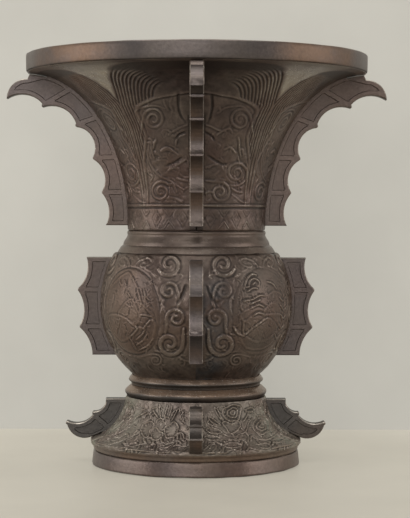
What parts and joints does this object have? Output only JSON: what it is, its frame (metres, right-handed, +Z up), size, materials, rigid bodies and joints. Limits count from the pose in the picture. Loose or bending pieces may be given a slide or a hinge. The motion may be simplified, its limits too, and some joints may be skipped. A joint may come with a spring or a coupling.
{
  "type": "bronze vase",
  "caption": "Flared bronze flower vase in the old beaker form: wide mouth, globe belly and spreading foot, with scalloped hooked flanges, scroll masks, landscape medallions and peonies.",
  "frame": {"origin": "middle of the vase's standing face, on its axis", "axes": "+Z up along the vase's axis, -Y to the front flange that faces the camera, +X to the right flange"},
  "size_m": [0.3042, 0.3042, 0.3262],
  "materials": {
    "dark_bronze": "satin dark brown patina",
    "flange_bronze": "satin purplish brown patina",
    "rubbed_bronze": "satin brown patina rubbed on the edges",
    "raw_bronze": "rough unpolished casting",
    "grey_solder": "dull grey solder"
  },
  "bodies": {
    "root": {"mouth_rim": "rubbed_bronze", "neck": "dark_bronze", "shoulder_ring": "rubbed_bronze", "belly": "dark_bronze", "floor_plate": "raw_bronze", "floor_solder": "grey_solder", "waist_ring_upper": "rubbed_bronze", "waist_ring_lower": "rubbed_bronze", "foot": "dark_bronze", "foot_band": "rubbed_bronze", "neck_flange_front": "flange_bronze", "neck_flange_right": "flange_bronze", "neck_flange_back": "flange_bronze", "neck_flange_left": "flange_bronze", "belly_flange_front": "flange_bronze", "belly_flange_right": "flange_bronze", "belly_flange_back": "flange_bronze", "belly_flange_left": "flange_bronze", "foot_flange_front": "flange_bronze", "foot_flange_right": "flange_bronze", "foot_flange_back": "flange_bronze", "foot_flange_left": "flange_bronze"}
  },
  "joints": []
}
